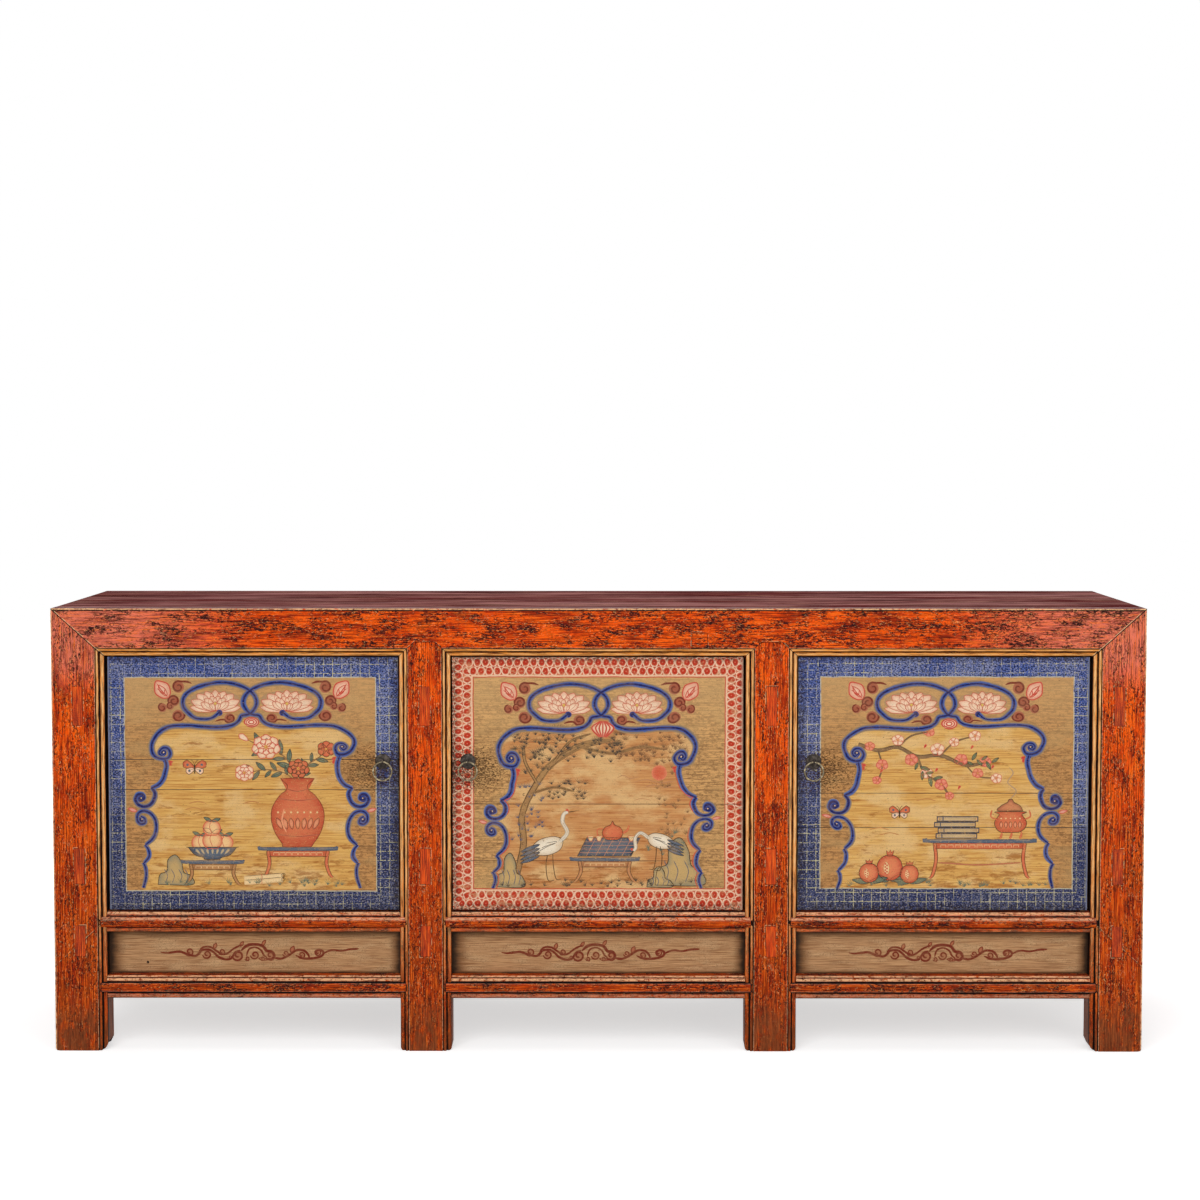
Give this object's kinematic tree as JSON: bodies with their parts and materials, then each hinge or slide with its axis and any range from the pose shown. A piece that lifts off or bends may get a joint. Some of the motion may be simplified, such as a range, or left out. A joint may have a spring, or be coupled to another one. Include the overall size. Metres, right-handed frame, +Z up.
{
  "type": "painted sideboard",
  "caption": "Long low painted wooden sideboard with a mitred, beaded front frame, peg-hung doors with ring pulls, framed aprons and a planked top.",
  "frame": {"origin": "centre of the bounding box, on the floor plane under the feet", "axes": "+X along the length, to the right of someone facing the doors; the doors face -Y; +Z up"},
  "size_m": [2.1, 0.4614, 0.858],
  "materials": {
    "frame_paint": "worn vermilion paint",
    "top_paint": "worn maroon lacquer",
    "side_paint": "worn red paint",
    "outer_door_paint": "painted ornament on a khaki ground with a blue border",
    "centre_door_paint": "painted ornament on a khaki ground with a red scale border",
    "apron_paint": "painted scroll on a beige ground",
    "bare_wood": "aged bare wood",
    "dark_iron": "forged, dark",
    "worn_iron": "forged, rubbed bright"
  },
  "bodies": {
    "carcass": {"front_post_left": "frame_paint", "front_post_right": "frame_paint", "front_stile_left": "frame_paint", "front_stile_right": "frame_paint", "front_top_rail": "frame_paint", "rear_post_left": "bare_wood", "rear_post_right": "bare_wood", "rear_stile_left": "bare_wood", "rear_stile_right": "bare_wood", "rear_top_rail": "bare_wood", "sill_rail_left": "frame_paint", "sill_rail_centre": "frame_paint", "sill_rail_right": "frame_paint", "bottom_rail_left": "frame_paint", "bottom_rail_centre": "frame_paint", "bottom_rail_right": "frame_paint", "rear_bottom_rail_left": "bare_wood", "rear_bottom_rail_centre": "bare_wood", "rear_bottom_rail_right": "bare_wood", "apron_panel_left": "apron_paint", "apron_panel_centre": "apron_paint", "apron_panel_right": "apron_paint", "back_panel_left": "bare_wood", "back_panel_centre": "bare_wood", "back_panel_right": "bare_wood", "side_rail_left_upper": "frame_paint", "side_rail_left_middle": "frame_paint", "side_rail_left_lower": "frame_paint", "end_top_rail_left": "frame_paint", "side_panels_left": "side_paint", "inner_rails_left": "bare_wood", "top_boards_left": "top_paint", "side_rail_right_upper": "frame_paint", "side_rail_right_middle": "frame_paint", "side_rail_right_lower": "frame_paint", "end_top_rail_right": "frame_paint", "side_panels_right": "side_paint", "inner_rails_right": "bare_wood", "top_boards_right": "top_paint", "inner_bearers": "bare_wood", "tenon_wedges": "bare_wood", "floor_boards": "bare_wood"},
    "door_left": {"door_left_panel": "outer_door_paint", "door_left_battens": "bare_wood", "door_left_pivot_pegs": "bare_wood", "pull_plate_left": "dark_iron", "pull_pin_left": "dark_iron"},
    "door_centre": {"door_centre_panel": "centre_door_paint", "door_centre_battens": "bare_wood", "door_centre_pivot_pegs": "bare_wood", "pull_plate_centre": "dark_iron", "pull_pin_centre": "dark_iron"},
    "door_right": {"door_right_panel": "outer_door_paint", "door_right_battens": "bare_wood", "door_right_pivot_pegs": "bare_wood", "pull_plate_right": "dark_iron", "pull_pin_right": "dark_iron"},
    "ring_left": {"pull_ring_left": "worn_iron"},
    "ring_centre": {"pull_ring_centre": "worn_iron"},
    "ring_right": {"pull_ring_right": "worn_iron"}
  },
  "joints": [
    {"name": "door_left_swing", "type": "hinge", "parent": "carcass", "child": "door_left", "pos_m": [-0.9365, -0.2073, 0.52], "axis": [0, 0, -1], "range_deg": [0, 95]},
    {"name": "door_centre_swing", "type": "hinge", "parent": "carcass", "child": "door_centre", "pos_m": [0.27083, -0.2073, 0.52], "axis": [0, 0, 1], "range_deg": [0, 95]},
    {"name": "door_right_swing", "type": "hinge", "parent": "carcass", "child": "door_right", "pos_m": [0.9365, -0.2073, 0.52], "axis": [0, 0, 1], "range_deg": [0, 95]},
    {"name": "ring_left_lift", "type": "hinge", "parent": "door_left", "child": "ring_left", "pos_m": [-0.41483, -0.226, 0.562], "axis": [-1, 0, 0], "range_deg": [0, 150]},
    {"name": "ring_centre_lift", "type": "hinge", "parent": "door_centre", "child": "ring_centre", "pos_m": [-0.25083, -0.226, 0.562], "axis": [-1, 0, 0], "range_deg": [0, 150]},
    {"name": "ring_right_lift", "type": "hinge", "parent": "door_right", "child": "ring_right", "pos_m": [0.41483, -0.226, 0.562], "axis": [-1, 0, 0], "range_deg": [0, 150]}
  ]
}
